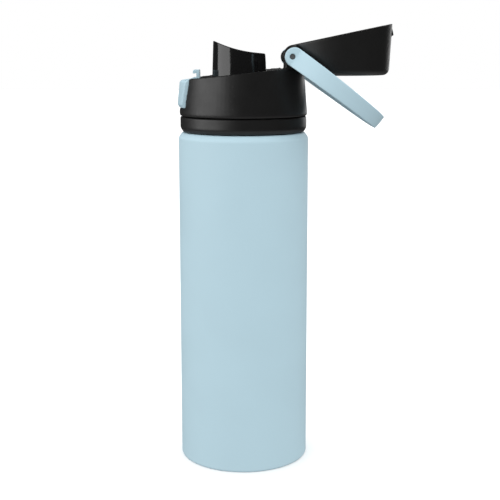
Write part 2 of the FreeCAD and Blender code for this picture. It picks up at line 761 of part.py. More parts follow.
def make_latch():
    belt = housing_foot + size.belt_rise
    taper = (size.belt_radius - size.deck_radius) / (deck_height - belt)
    foot = latch_foot_z
    top = deck_at(-size.deck_radius) + size.latch_top_rise
    low_face = size.belt_radius + size.latch_proud - taper * (foot - belt)
    high_face = size.belt_radius + size.latch_proud - taper * (top - belt)
    inner = size.belt_radius + size.latch_proud - size.latch_plate
    ring = turned("latch_ring", [
        (inner, foot),
        (low_face - size.latch_bevel, foot),
        (low_face, foot + size.latch_foot_bevel),
        (high_face, top - size.latch_bevel),
        (high_face - size.latch_bevel, top),
        (inner, top),
    ])
    front = block("latch_half", (-wide, -wide, zero), (zero, wide, high))
    outlined = common("latch_outline", ring, latch_prism("latch_prism", zero))
    plate = common("latch_plate_solid", outlined, front)
    neck = size.hook_back - size.hook_neck
    nose = neck - size.hook_nose
    lip_z = hook_top - size.hook_lip
    start = -size.deck_radius + size.arm_root
    arm = slab("latch_arm", "XZ_Plane", [
        (start, deck_at(start) - size.arm_depth),
        (size.hook_back, deck_at(size.hook_back) - size.arm_depth),
        (size.hook_back, hook_top),
        (nose + size.hook_bevel, hook_top),
        (nose, hook_top - size.hook_bevel),
        (nose, lip_z),
        (neck - size.hook_relief, lip_z),
        (neck, lip_z + size.hook_relief),
        (neck, deck_at(neck) + size.arm_step),
        (start + size.arm_ramp, deck_at(start) + size.arm_ramp_rise),
        (start, deck_at(start) + size.latch_top_rise),
    ], size.arm_half * 2)
    return keep(fused("latch_button_solid", plate, arm), "latch_button")


def make_spring():
    wire = size.spring_wire.number / 2
    length = size.spring_length.number - 2 * (wire + size.spring_play.number)
    pitch = length / size.spring_turns.number
    coil = Part.makeHelix(pitch, length, size.spring_radius.number)
    centre = FreeCAD.Vector(size.spring_radius.number, 0, 0)
    section = Part.Wire(Part.makeCircle(wire, centre, FreeCAD.Vector(0, 1, 0)))
    item = doc.addObject("Part::Feature", "latch_spring_solid")
    item.Shape = Part.Wire(coil).makePipeShell([section], True, True)
    front = latch_inner_x.number + wire + size.spring_play.number
    start = FreeCAD.Vector(front, 0, spring_z.number)
    item.Placement = FreeCAD.Placement(start, FreeCAD.Rotation(FreeCAD.Vector(0, 1, 0), 90))
    return keep(item, "latch_spring")


# ---- Flip cap, drawn shut ---------------------------------------------------------------------

def drafted_cone(name, growth):
    """The cap's drafted wall, grown all round, as a leaning cone in the shut frame."""
    under = size.cap_seat
    cone = doc.addObject("Part::Cone", name)
    bind(
        cone,
        Radius1=size.cap_mouth_radius + growth + under * size.cap_draft,
        Radius2=size.cap_mouth_radius + growth - size.cap_depth * size.cap_draft,
        Height=size.cap_depth + under,
    )
    lean = size.cap_lean.number
    foot = under.number
    start = FreeCAD.Vector(
        size.cap_mouth_centre.number + foot * math.sin(math.radians(lean)), 0,
        -size.cap_seat.number - foot * math.cos(math.radians(lean)))
    turn = FreeCAD.Rotation(FreeCAD.Vector(0, 1, 0), -lean)
    cone.Placement = FreeCAD.Placement(start, turn)
    return cone


def roof_at(forward):
    return size.cap_roof + size.cap_roof_slope * forward


def rounded_roof(base):
    """Rounds the edge where the cap's drafted wall meets its roof."""
    picked = []
    for index, edge in enumerate(base.Shape.Edges, start=1):
        points = edge.discretize(5)
        on_roof = all(abs(point.z - roof_at(point.x).number) < 1e-2 for point in points)
        if on_roof and abs(points[0].x - points[-1].x) > 1.0:
            picked.append(index)
    rounded = doc.addObject("Part::Fillet", "cap_rounded")
    rounded.Base = base
    rounded.Edges = [(index, size.cap_round.number, size.cap_round.number) for index in picked]
    doc.recompute()
    return rounded


def make_cap_shell():
    back = size.knuckle_forward - size.knuckle_radius
    round_end = size.knuckle_radius * size.knuckle_share
    profile = slab("cap_side_profile", "XZ_Plane", [
        (size.knuckle_forward, -size.cap_seat),
        (wide, -size.cap_seat),
        (wide, roof_at(wide)),
        (size.slope_top, roof_at(size.slope_top)),
        (size.knuckle_forward + size.slope_foot, size.knuckle_radius - size.slope_drop),
        (back + size.knuckle_inset, round_end),
        (size.knuckle_forward, zero),
    ], wide * 2)
    knuckle = drum("cap_knuckle", size.knuckle_radius, wide, size.knuckle_forward,
                   size.knuckle_radius - size.cap_seat)
    above = block("above_knuckle", (-wide, -wide, round_end), (wide, wide, wide))
    side = fused("cap_side", profile, cut("cap_knuckle_low", knuckle, above))
    outer = rounded_roof(common("cap_outer", drafted_cone("cap_cone", zero), side))
    bevel_front = size.ear_depth + size.inside_bevel
    inside = slab("cap_inside_profile", "XZ_Plane", [
        (size.ear_depth, -(size.cap_seat + past)),
        (wide, -(size.cap_seat + past)),
        (wide, roof_at(wide) - size.cap_wall),
        (bevel_front, roof_at(bevel_front) - size.cap_wall),
        (size.ear_depth, roof_at(size.ear_depth) - size.cap_wall - size.inside_bevel),
    ], wide * 2)
    hollow = common("cap_hollow", drafted_cone("cap_inner_cone", -size.cap_wall), inside)
    rooms = cut("eye_rooms", drum("eye_room", size.handle_eye + size.eye_room, wide / 2, zero, zero),
                drum("eye_room_inner", size.handle_eye * 2, size.ear_half, zero, zero))
    shell = cut("cap_open_shell", outer, hollow, rooms)
    boss = drum("ear_boss", size.ear_boss_radius, size.ear_half, zero, zero)
    nose_x = size.hook_back - size.hook_neck - size.hook_nose
    lip_z = hook_top - size.hook_lip
    ledge_back = forward_of(nose_x + size.hook_bite, lip_z)
    ledge_top = above_of(nose_x, lip_z) - size.latch_gap
    ledge = common(
        "catch_ledge",
        block("catch_block", (ledge_back, -size.catch_half, -size.cap_seat + size.arm_step),
              (wide, size.catch_half, ledge_top)),
        drafted_cone("catch_cone", -size.cap_wall / 2))
    nub = block(
        "cap_nub",
        (size.nub_forward - size.nub_depth, -size.nub_half, -size.nub_drop - size.nub_height / 2),
        (size.nub_forward, size.nub_half, -size.nub_drop + size.nub_height / 2))
    solid = fused("cap_fused", shell, boss, ledge, nub)
    notch = block(
        "tower_notch", (-wide, -(size.tower_half + size.side_play), -wide),
        (size.notch_depth, size.tower_half + size.side_play, wide))
    bore = drum("ear_bore", size.pin_radius + size.pin_play, wide / 2, zero, zero)
    cap = in_shut_frame(cut("cap_shell_solid", solid, notch, bore))
    return swing(keep(cap, "cap_shell"), size.cap_swing)


def rim_band(name, near, far):
    """The space between two arcs that follow the drinking rim at two distances above it."""
    centre = rim_low_z + size.rim_arc_radius
    outer = drum(f"{name}_outer", size.rim_arc_radius - near, wide / 2, size.rim_low_x, centre)
    inner = drum(f"{name}_inner", size.rim_arc_radius - far, wide, size.rim_low_x, centre)
    return cut(name, outer, inner)


def make_spout_seal():
    oval = oval_tube("seal_oval", -size.seal_overlap, spout_foot, spout_top + size.carrier_blank)
    band = rim_band("seal_band", size.seal_gap, size.seal_gap + size.seal_thickness)
    return swing(keep(common("spout_seal_solid", oval, band), "spout_seal"), size.cap_swing)


def make_seal_carrier():
    top = spout_top + size.carrier_blank
    outer = oval_tube("carrier_oval", zero, spout_foot, top)
    inner = oval_tube("carrier_bore", size.carrier_wall, spout_foot - past, top + past)
    near = size.seal_gap + size.seal_thickness + size.face_gap
    band = rim_band("carrier_band", near, size.rim_arc_radius / 2)
    back = size.ear_depth + size.carrier_play
    bevel_front = back + size.inside_bevel
    ceiling = size.cap_wall + size.face_gap
    under_roof = in_shut_frame(slab("under_roof", "XZ_Plane", [
        (back, -wide),
        (wide, -wide),
        (wide, roof_at(wide) - ceiling),
        (bevel_front, roof_at(bevel_front) - ceiling),
        (back, roof_at(size.ear_depth) - ceiling - size.inside_bevel),
    ], wide * 2))
    limits = common("carrier_limits", band, under_roof)
    ring = common("carrier_ring", cut("carrier_tube", outer, inner), limits)
    return swing(keep(ring, "seal_carrier"), size.cap_swing)


# ---- Handle, drawn folded over ----------------------------------------------------------------

def make_handle():
    tilt = size.handle_skew
    centre = size.handle_centre
    low = -size.handle_offset
    ring_outer = doc.addObject("Part::Cylinder", "bow_outer")
    bind(ring_outer, Radius=size.handle_inner + size.handle_strap, Height=size.bow_blank)
    place(ring_outer, centre, 0.0, -size.bow_blank / 2)
    ring_inner = doc.addObject("Part::Cylinder", "bow_inner")
    bind(ring_inner, Radius=size.handle_inner, Height=size.bow_blank + past * 2)
    place(ring_inner, centre, 0.0, -size.bow_blank / 2 - past)
    bow = cut("bow_ring", ring_outer, ring_inner)
    between_eyes = block("between_eyes", (-wide, -size.eye_half, -wide),
                         (size.handle_eye * 2, size.eye_half, wide))
    pad_back = size.eye_forward - size.handle_eye
    pad_side = size.eye_half + size.eye_pad
    pads = block("eye_pads", (pad_back, -pad_side, -wide), (size.eye_forward * 2, pad_side, wide))
    arms = cut("bow_arms", fused("bow_and_pads", bow, pads), between_eyes)
    strap = slab("strap_side", "XZ_Plane", [
        (size.eye_forward, low - size.handle_eye),
        (size.handle_reach + tilt * size.handle_tip_half, low - size.handle_tip_half),
        (size.handle_reach - tilt * size.handle_tip_half, low + size.handle_tip_half),
        (size.eye_forward, low + size.handle_eye),
    ], wide * 2)
    eye = drum("eye_round", size.handle_eye, wide, size.eye_forward, low)
    side = fused("handle_side", strap, eye)
    solid = common("handle_solid_blank", arms, side)
    bore = drum("eye_bore", size.pin_radius + size.pin_play, wide / 2, zero, zero)
    handle = in_shut_frame(cut("carry_handle_solid", solid, bore))
    return swing(keep(handle, "carry_handle"), size.handle_swing)


# ---- Build, check and write -------------------------------------------------------------------

for make in (
    make_outer_shell, make_base_plate, make_vacuum_plug, make_getter, make_inner_liner,
    make_threaded_neck, make_collar, make_lid_base, make_mouth_gasket, make_housing, make_spout,
    make_spout_gasket, make_pin, make_washers, make_latch, make_spring, make_cap_shell,
    make_spout_seal, make_seal_carrier, make_handle,
):
    make()
doc.recompute()

for item in doc.Objects:
    if "Invalid" in item.State or "Error" in item.State:
        raise RuntimeError(f"{item.Name} did not recompute: {item.State}")

os.makedirs("parts", exist_ok=True)
for item in finished:
    shape = item.Shape
    if shape.isNull() or not shape.isValid() or not shape.Solids:
        raise RuntimeError(f"{item.Label} is not a sound solid")
    shape.exportStep(os.path.join("parts", f"{item.Label}.step"))
    print(f"{item.Label}: {len(shape.Solids)} solid(s), {shape.Volume:.1f} mm3")
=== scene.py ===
"""An insulated drinks bottle: steel body, two-part black lid, spout, flip cap, latch and handle.

Each sub-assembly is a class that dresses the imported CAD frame: it turns or softens the meshes that
show, lays a finish on each and rides it on its CAD body. Lengths are in metres.
"""
import logging
import math
from dataclasses import dataclass, field
from enum import Enum

import bmesh
import bpy
import numpy
from mathutils import Euler, Matrix, Vector
from mathutils.bvhtree import BVHTree


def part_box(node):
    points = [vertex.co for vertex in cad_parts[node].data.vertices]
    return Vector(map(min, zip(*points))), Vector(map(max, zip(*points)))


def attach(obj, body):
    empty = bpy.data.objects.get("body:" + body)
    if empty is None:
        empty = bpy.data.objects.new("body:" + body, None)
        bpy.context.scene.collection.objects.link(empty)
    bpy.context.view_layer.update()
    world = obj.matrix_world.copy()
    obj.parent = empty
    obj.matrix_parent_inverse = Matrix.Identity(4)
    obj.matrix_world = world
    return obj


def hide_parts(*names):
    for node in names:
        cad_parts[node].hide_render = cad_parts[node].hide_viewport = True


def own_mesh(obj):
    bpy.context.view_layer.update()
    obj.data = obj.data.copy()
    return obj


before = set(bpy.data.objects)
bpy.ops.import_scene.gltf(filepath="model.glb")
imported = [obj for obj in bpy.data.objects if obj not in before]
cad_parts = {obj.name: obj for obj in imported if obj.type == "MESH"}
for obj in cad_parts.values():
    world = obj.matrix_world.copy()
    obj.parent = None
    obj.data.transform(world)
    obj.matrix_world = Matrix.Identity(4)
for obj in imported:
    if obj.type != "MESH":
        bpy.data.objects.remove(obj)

log = logging.getLogger("bottle")
MM = 0.001
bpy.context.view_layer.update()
Colour = tuple[float, float, float]

# Corners nearer than this are one corner: in a CAD mesh, and along a turned shell's seam.
MERGE_GAP = 0.002 * MM
SEAM_GAP = 0.0005 * MM


# ---- Finishes ----------------------------------------------------------------------------------


class Grain(Enum):
    """What covers a surface finer than its shape."""

    POWDER = "sprayed powder with a fine orange peel"
    SPARK = "spark-eroded mould texture"
    POLISHED = "polished mould face with faint flow lines"
    BRUSHED = "fine lines turned about the bottle's axis"
    SOFT = "dull rubber with a dusty bloom"


@dataclass(frozen=True)
class GrainRule:
    """How a grain is drawn: lumps to the metre, depth of relief and the spread of its gloss."""

    scale: float
    depth: float
    gloss_spread: float
    stretch: tuple[float, float, float] = (1.0, 1.0, 1.0)


GRAIN_RULES = {
    Grain.POWDER: GrainRule(2600.0, 0.000012, 0.07),
    Grain.SPARK: GrainRule(3600.0, 0.000010, 0.09),
    Grain.POLISHED: GrainRule(900.0, 0.000002, 0.05, (1.0, 1.0, 0.15)),
    Grain.BRUSHED: GrainRule(2200.0, 0.000004, 0.12, (1.0, 1.0, 14.0)),
    Grain.SOFT: GrainRule(1800.0, 0.000006, 0.10),
}

# The noises under every finish: lumps to the metre, finer octaves, and the smudges' share.
GRAIN_OCTAVES = 3.0
CLOUD_SCALE = 34.0
CLOUD_OCTAVES = 4.0
SMUDGE_SCALE = 160.0
SMUDGE_OCTAVES = 5.0
SMUDGE_SHARE = 0.4

# The middle range of a noise, which is stretched over the span of what it drives.
NOISE_RANGE = (0.3, 0.7)

# The sharpness at which an edge starts to turn pale and at which it is palest, and how much paler that
# edge colour is. The pale edge is partly rubbed wear and partly a painted highlight along the edges.
EDGE_RANGE = (0.56, 0.66)
EDGE_WEAR_AND_HIGHLIGHT_GAIN = 2.2
EDGE_WEAR_AND_HIGHLIGHT_LIFT = 0.01

COAT_ROUGHNESS = 0.12


@dataclass(frozen=True)
class Finish:
    """A colour, a gloss and a grain that together dress one kind of surface.

    slot is the record's material slot that the finish stands for.
    """

    slot: str
    colour: Colour
    roughness: float
    grain: Grain
    metallic: float = 0.0
    specular: float = 0.5
    tone: float = 0.03
    coat: float = 0.0
    # How far sharp edges are painted paler: partly rubbed wear, partly a painted highlight.
    edge_wear_and_highlight: float = 0.0

    def material(self) -> bpy.types.Material:
        """Finds or makes the node material.

        Returns:
            The material named after the finish's slot.
        """
        made = bpy.data.materials.get(f"finish_{self.slot}")
        if made:
            return made
        made = bpy.data.materials.new(f"finish_{self.slot}")
        made.use_nodes = True
        made.diffuse_color = (*self.colour, 1.0)
        board = NodeBoard(made.node_tree)
        shader = made.node_tree.nodes["Principled BSDF"]
        shader.inputs["Metallic"].default_value = self.metallic
        shader.inputs["Specular IOR Level"].default_value = self.specular
        shader.inputs["Coat Weight"].default_value = self.coat
        shader.inputs["Coat Roughness"].default_value = COAT_ROUGHNESS
        self.lay(board, shader)
        return made

    def lay(self, board: "NodeBoard", shader: bpy.types.Node) -> None:
        """Wires the grain, the gloss and the colour to the shader.

        Args:
            board: The material's nodes.
            shader: Its Principled shader.
        """
        rule = GRAIN_RULES[self.grain]
        place = board.add("ShaderNodeTexCoord").outputs["Object"]
        stretched = board.add("ShaderNodeMapping", Scale=rule.stretch)
        board.join(place, stretched.inputs["Vector"])
        fine = board.noise(stretched.outputs["Vector"], rule.scale, GRAIN_OCTAVES)
        cloud = board.noise(place, CLOUD_SCALE, CLOUD_OCTAVES)
        smudge = board.noise(place, SMUDGE_SCALE, SMUDGE_OCTAVES)
        blotch = board.mixed_value(cloud, smudge, SMUDGE_SHARE)
        low, high = self.roughness - rule.gloss_spread, self.roughness + rule.gloss_spread
        board.join(board.spread(blotch, low, high), shader.inputs["Roughness"])
        board.join(self.tint(board, cloud, fine), shader.inputs["Base Color"])
        bump = board.add("ShaderNodeBump", Strength=1.0, Distance=rule.depth)
        board.join(fine, bump.inputs["Height"])
        board.join(bump.outputs["Normal"], shader.inputs["Normal"])

    def tint(self, board: "NodeBoard", cloud: bpy.types.NodeSocket,
             fine: bpy.types.NodeSocket) -> bpy.types.NodeSocket:
        """Varies the colour a little over the surface, and lightens the sharp edges: partly rubbed
        wear, partly a painted edge highlight.

        Args:
            board: The material's nodes.
            cloud: A broad noise, from 0 to 1.
            fine: The grain's own noise, from 0 to 1.

        Returns:
            The colour's socket.
        """
        shade = tuple(part * (1.0 - self.tone) for part in self.colour)
        light = tuple(min(1.0, part * (1.0 + self.tone)) for part in self.colour)
        broad = board.blend_colour(board.spread(cloud, 0.0, 1.0), shade, light)
        speck = board.spread(fine, 1.0 - self.tone, 1.0 + self.tone)
        coloured = board.scaled_colour(broad, speck)
        if not self.edge_wear_and_highlight:
            return coloured
        # Painted highlight mixed with wear: sharp edges, found by pointiness, are lightened towards a
        # paler colour.
        edge = board.add("ShaderNodeNewGeometry").outputs["Pointiness"]
        wear_and_highlight_share = board.ramp(edge, EDGE_RANGE, (0.0, self.edge_wear_and_highlight))
        wear_and_highlight_colour = tuple(min(1.0, part * EDGE_WEAR_AND_HIGHLIGHT_GAIN + EDGE_WEAR_AND_HIGHLIGHT_LIFT) for part in self.colour)
        return board.blend_colour(wear_and_highlight_share, coloured, wear_and_highlight_colour)


class NodeBoard:
    """A small pen for a node tree: adds nodes, sets their inputs and joins them.

    The numbers are the places of the Mix node's sockets.
    """

    SHARE = 0
    FIRST_VALUE = 2
    SECOND_VALUE = 3
    FIRST_COLOUR = 6
    SECOND_COLOUR = 7
    MIXED_COLOUR = 2

    def __init__(self, tree: bpy.types.NodeTree) -> None:
        """Keeps the tree that it draws on."""
        self.tree = tree

    def add(self, kind: str, **inputs: object) -> bpy.types.Node:
        """Adds a node and sets its inputs.

        Args:
            kind: The node's type.
            **inputs: Values by the name of their input.

        Returns:
            The new node.
        """
        node = self.tree.nodes.new(kind)
        for name, value in inputs.items():
            node.inputs[name].default_value = value
        return node

    def join(self, start: bpy.types.NodeSocket, end: bpy.types.NodeSocket) -> None:
        """Links one socket to another."""
        self.tree.links.new(start, end)

    def feed(self, end: bpy.types.NodeSocket, value: object) -> None:
        """Links an input to a socket, or sets it to a value.

        Args:
            end: The input.
            value: A socket, or the input's own value.
        """
        if isinstance(value, bpy.types.NodeSocket):
            self.join(value, end)
        else:
            end.default_value = value

    def noise(self, place: bpy.types.NodeSocket, scale: float, detail: float) -> bpy.types.NodeSocket:
        """Adds a noise texture.

        Args:
            place: The coordinates that it reads.
            scale: Lumps to the metre.
            detail: How many finer octaves it holds.

        Returns:
            Its value's socket.
        """
        node = self.add("ShaderNodeTexNoise", Scale=scale, Detail=detail)
        self.join(place, node.inputs["Vector"])
        return node.outputs["Fac"]

    def mixed_value(self, first: bpy.types.NodeSocket, second: bpy.types.NodeSocket,
                    share: float) -> bpy.types.NodeSocket:
        """Mixes two values.

        Args:
            first: The value at share 0.
            second: The value at share 1.
            share: How much of the second is taken.

        Returns:
            The mixed value's socket.
        """
        node = self.tree.nodes.new("ShaderNodeMix")
        node.inputs[self.SHARE].default_value = share
        self.join(first, node.inputs[self.FIRST_VALUE])
        self.join(second, node.inputs[self.SECOND_VALUE])
        return node.outputs[0]

    def spread(self, value: bpy.types.NodeSocket, low: float, high: float) -> bpy.types.NodeSocket:
        """Stretches a noise's middle range to run from low to high.

        Args:
            value: The noise.
            low: What the low end of that range becomes.
            high: What its high end becomes.

        Returns:
            The stretched value's socket.
        """
        return self.ramp(value, NOISE_RANGE, (low, high))

    def ramp(self, value: bpy.types.NodeSocket, span: tuple[float, float],
             result: tuple[float, float]) -> bpy.types.NodeSocket:
        """Maps a value from one span to another.

        Args:
            value: The value.
            span: Where it starts and ends.
            result: What those two become.

        Returns:
            The mapped value's socket.
        """
        node = self.add("ShaderNodeMapRange", **{
            "From Min": span[0], "From Max": span[1], "To Min": result[0], "To Max": result[1]})
        self.join(value, node.inputs["Value"])
        return node.outputs["Result"]

    def product(self, first: bpy.types.NodeSocket, second: object) -> bpy.types.NodeSocket:
        """Multiplies a value by a number or by another value.

        Args:
            first: The value.
            second: The number, or the other value's socket.

        Returns:
            The product's socket.
        """
        node = self.tree.nodes.new("ShaderNodeMath")
        node.operation = "MULTIPLY"
        self.join(first, node.inputs[0])
        self.feed(node.inputs[1], second)
        return node.outputs[0]

    def chosen(self, switch: bpy.types.NodeSocket, first: bpy.types.NodeSocket,
               second: object) -> bpy.types.NodeSocket:
        """Passes the first value on where a switch is 0, and the second where it is 1.

        Args:
            switch: The switch's socket.
            first: The value at 0.
            second: The number or value at 1.

        Returns:
            The passed value's socket.
        """
        node = self.tree.nodes.new("ShaderNodeMix")
        self.join(switch, node.inputs[self.SHARE])
        self.join(first, node.inputs[self.FIRST_VALUE])
        self.feed(node.inputs[self.SECOND_VALUE], second)
        return node.outputs[0]

    def blend_colour(self, share: bpy.types.NodeSocket, first: object,
                     second: Colour) -> bpy.types.NodeSocket:
        """Blends two colours by a share.

        Args:
            share: The share's socket.
            first: A colour, or a colour's socket.
            second: The colour at share 1.

        Returns:
            The blended colour's socket.
        """
        node = self.tree.nodes.new("ShaderNodeMix")
        node.data_type = "RGBA"
        self.join(share, node.inputs[self.SHARE])
        linked = isinstance(first, bpy.types.NodeSocket)
        self.feed(node.inputs[self.FIRST_COLOUR], first if linked else (*first, 1.0))
        self.feed(node.inputs[self.SECOND_COLOUR], (*second, 1.0))
        return node.outputs[self.MIXED_COLOUR]

    def scaled_colour(self, colour: bpy.types.NodeSocket,
                      value: bpy.types.NodeSocket) -> bpy.types.NodeSocket:
        """Multiplies a colour by a value.

        Args:
            colour: The colour's socket.
            value: The value's socket.

        Returns:
            The product's socket.
        """
        node = self.tree.nodes.new("ShaderNodeVectorMath")
        node.operation = "SCALE"
        self.join(colour, node.inputs[0])
        self.join(value, node.inputs["Scale"])
        return node.outputs["Vector"]


PALE_BLUE = (0.455, 0.628, 0.708)
POWDER_COAT = Finish("powder_coat", PALE_BLUE, 0.58, Grain.POWDER, specular=0.28, tone=0.012)
BLUE_MOULDING = Finish("blue_moulding", PALE_BLUE, 0.46, Grain.SPARK, specular=0.35, tone=0.012)
# Its sharp edges are painted paler: partly rubbed wear, partly a painted highlight.
BLACK_MOULDING = Finish("black_moulding", (0.0062, 0.0061, 0.0060), 0.44, Grain.SPARK, specular=0.52,
                        tone=0.10, edge_wear_and_highlight=0.5)
GLOSS_BLACK = Finish("gloss_black", (0.0060, 0.0060, 0.0062), 0.13, Grain.POLISHED, specular=0.5,
                     tone=0.05, coat=0.15)
BARE_STEEL = Finish("bare_steel", (0.56, 0.55, 0.53), 0.30, Grain.BRUSHED, metallic=1.0, tone=0.05)
PIN_STEEL = Finish("pin_steel", (0.15, 0.155, 0.16), 0.36, Grain.BRUSHED, metallic=0.45, tone=0.06)
SOLDER = Finish("solder", (0.30, 0.29, 0.27), 0.42, Grain.SOFT, metallic=0.6, tone=0.10)
SILICONE = Finish("silicone", (0.60, 0.61, 0.60), 0.52, Grain.SOFT, specular=0.35, tone=0.03)
WASHER_NYLON = Finish("washer_nylon", (0.030, 0.030, 0.031), 0.5, Grain.SOFT, specular=0.35, tone=0.05)


# ---- Mesh work ---------------------------------------------------------------------------------


def fresh_object(name: str, mesh: bpy.types.Mesh) -> bpy.types.Object:
    """Links a new object that holds a mesh.

    Args:
        name: The object's name.
        mesh: Its mesh.

    Returns:
        The object, at the origin.
    """
    item = bpy.data.objects.new(name, mesh)
    bpy.context.scene.collection.objects.link(item)
    return item


def plain(item: bpy.types.Object) -> bpy.types.Object:
    """Turns an object's evaluated modifiers into its own mesh.

    Args:
        item: An object with modifiers.

    Returns:
        The same object with a plain mesh and no modifier.
    """
    bpy.context.view_layer.update()
    evaluated = item.evaluated_get(bpy.context.evaluated_depsgraph_get())
    mesh = bpy.data.meshes.new_from_object(evaluated)
    mesh.name = item.name
    item.modifiers.clear()
    item.data = mesh
    return item


def dress(item: bpy.types.Object, finish: Finish) -> None:
    """Gives every face of an object one finish.

    Args:
        item: The object.
        finish: Its finish.
    """
    item.data.materials.clear()
    item.data.materials.append(finish.material())
    item.data.polygons.foreach_set("material_index", [0] * len(item.data.polygons))


def merged_copy(node: str) -> bmesh.types.BMesh:
    """Copies a CAD node's mesh with its loose corners joined.

    Args:
        node: The CAD node's name.

    Returns:
        The copy, as an open BMesh.
    """
    shape = bmesh.new()
    shape.from_mesh(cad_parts[node].data)
    bmesh.ops.remove_doubles(shape, verts=shape.verts, dist=MERGE_GAP)
    return shape


@dataclass(frozen=True)
class SoftEdge:
    """The rounding that a mould leaves on every sharp edge.

    The shape is cut into a fine even net of this spacing, laid back on the true surface and then
    relaxed, which rounds the edges and leaves flat and round faces where they were.
    """

    spacing: float
    rounds: int = 4
    pull: float = 0.5

    def apply(self, name: str, shape: bmesh.types.BMesh) -> bpy.types.Object:
        """Rounds a shape's sharp edges.

        Args:
            name: The new object's name.
            shape: The shape, which is freed.

        Returns:
            A smooth-shaded object with a plain mesh.
        """
        mesh = bpy.data.meshes.new(name)
        shape.to_mesh(mesh)
        surface = BVHTree.FromBMesh(shape)
        shape.free()
        item = fresh_object(name, mesh)
        net = item.modifiers.new("even_net", "REMESH")
        net.mode = "VOXEL"
        net.voxel_size = self.spacing
        plain(item)
        for corner in item.data.vertices:
            corner.co = surface.find_nearest(corner.co)[0]
        self.relax(item.data)
        item.data.polygons.foreach_set("use_smooth", [True] * len(item.data.polygons))
        return item

    def relax(self, mesh: bpy.types.Mesh) -> None:
        """Draws each corner towards the middle of its neighbours, a few times over.

        Args:
            mesh: The mesh, which is changed.
        """
        count = len(mesh.vertices)
        places = numpy.empty(count * 3)
        mesh.vertices.foreach_get("co", places)
        places = places.reshape(count, 3)
        pairs = numpy.empty(len(mesh.edges) * 2, dtype=numpy.int64)
        mesh.edges.foreach_get("vertices", pairs)
        first, second = pairs[0::2], pairs[1::2]
        shares = numpy.bincount(first, minlength=count) + numpy.bincount(second, minlength=count)
        for _ in range(self.rounds):
            middle = numpy.empty_like(places)
            for axis in range(3):
                line = places[:, axis]
                middle[:, axis] = (numpy.bincount(first, weights=line[second], minlength=count)
                                   + numpy.bincount(second, weights=line[first], minlength=count))
            middle /= shares[:, None]
            places += self.pull * (middle - places)
        mesh.vertices.foreach_set("co", places.ravel())
        mesh.update()


def show(item: bpy.types.Object, finish: Finish, body: str, *nodes: str) -> bpy.types.Object:
    """Dresses a finished piece, rides it on its body and lets it stand for CAD nodes.

    Args:
        item: The piece.
        finish: Its finish.
        body: The CAD body that it moves with.
        *nodes: The CAD nodes that it replaces.

    Returns:
        The same piece.
    """
    dress(item, finish)
    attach(item, body)
    if nodes:
        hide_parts(*nodes)
    log.info("%s: %d faces on %s", item.name, len(item.data.polygons), body)
    return item


def softened(node: str, finish: Finish, body: str, edge: SoftEdge) -> None:
    """Shows a CAD node as a copy with rounded edges.

    Args:
        node: The CAD node's name.
        finish: The copy's finish.
        body: The CAD body that it moves with.
        edge: How its edges are rounded.
    """
    show(edge.apply(f"{node}_soft", merged_copy(node)), finish, body, node)


def keep(node: str, finish: Finish) -> None:
    """Keeps a CAD node as it is and gives it a finish.

    Args:
        node: The CAD node's name.
        finish: Its finish.
    """
    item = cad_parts[node]
    material = finish.material()
    if not item.material_slots:
        item.data.materials.append(material)
    for holder in item.material_slots:
        holder.material = material
    log.info("%s: kept with %s", node, finish.slot)


# ---- Geometry Nodes ----------------------------------------------------------------------------


class GeometryTree:
    """A Geometry Nodes tree under construction, with named inputs and one geometry output."""

    def __init__(self, name: str, sizes: dict[str, str]) -> None:
        """Makes the tree.

        Args:
            name: The tree's name.
            sizes: Each input's name with its socket type.
        """
        self.tree = bpy.data.node_groups.new(name, "GeometryNodeTree")
        face = self.tree.interface
        face.new_socket("Geometry", in_out="INPUT", socket_type="NodeSocketGeometry")
        for label, kind in sizes.items():
            face.new_socket(label, in_out="INPUT", socket_type=kind)
        face.new_socket("Material", in_out="INPUT", socket_type="NodeSocketMaterial")
        face.new_socket("Geometry", in_out="OUTPUT", socket_type="NodeSocketGeometry")
        self.entry = self.tree.nodes.new("NodeGroupInput")
        self.exit = self.tree.nodes.new("NodeGroupOutput")

    def given(self, label: str) -> bpy.types.NodeSocket:
        """Returns the socket of a named input."""
        return self.entry.outputs[label]

    def add(self, kind: str, settings: dict[str, object] | None = None,
            **inputs: object) -> bpy.types.Node:
        """Adds a node.

        Args:
            kind: The node's type.
            settings: Values of the node's own properties.
            **inputs: Values or sockets by the name of their input.

        Returns:
            The new node.
        """
        node = self.tree.nodes.new(kind)
        for label, value in (settings or {}).items():
            setattr(node, label, value)
        for label, value in inputs.items():
            self.feed(node.inputs[label.replace("_", " ")], value)
        return node

    def feed(self, socket: bpy.types.NodeSocket, value: object) -> None:
        """Links an input to a socket, or sets it to a value.

        Args:
            socket: The input.
            value: A socket, or the input's own value.
        """
        if isinstance(value, bpy.types.NodeSocket):
            self.tree.links.new(value, socket)
        else:
            socket.default_value = value

    def calculated(self, operation: str, first: object, second: object = 0.0) -> bpy.types.NodeSocket:
        """Adds a Math node.

        Args:
            operation: The node's operation, such as MULTIPLY.
            first: Its first number or socket.
            second: Its second number or socket.

        Returns:
            The result's socket.
        """
        node = self.add("ShaderNodeMath", {"operation": operation})
        self.feed(node.inputs[0], first)
        self.feed(node.inputs[1], second)
        return node.outputs[0]

    def close(self, geometry: bpy.types.NodeSocket) -> bpy.types.NodeTree:
        """Ends the tree in Realize Instances, smooth shading and Set Material.

        Args:
            geometry: What the tree has made.

        Returns:
            The finished tree.
        """
        real = self.add("GeometryNodeRealizeInstances", Geometry=geometry)
        smooth = self.add("GeometryNodeSetShadeSmooth", Geometry=real.outputs[0])
        painted = self.add("GeometryNodeSetMaterial", Geometry=smooth.outputs[0],
                           Material=self.given("Material"))
        self.tree.links.new(painted.outputs[0], self.exit.inputs[0])
        return self.tree


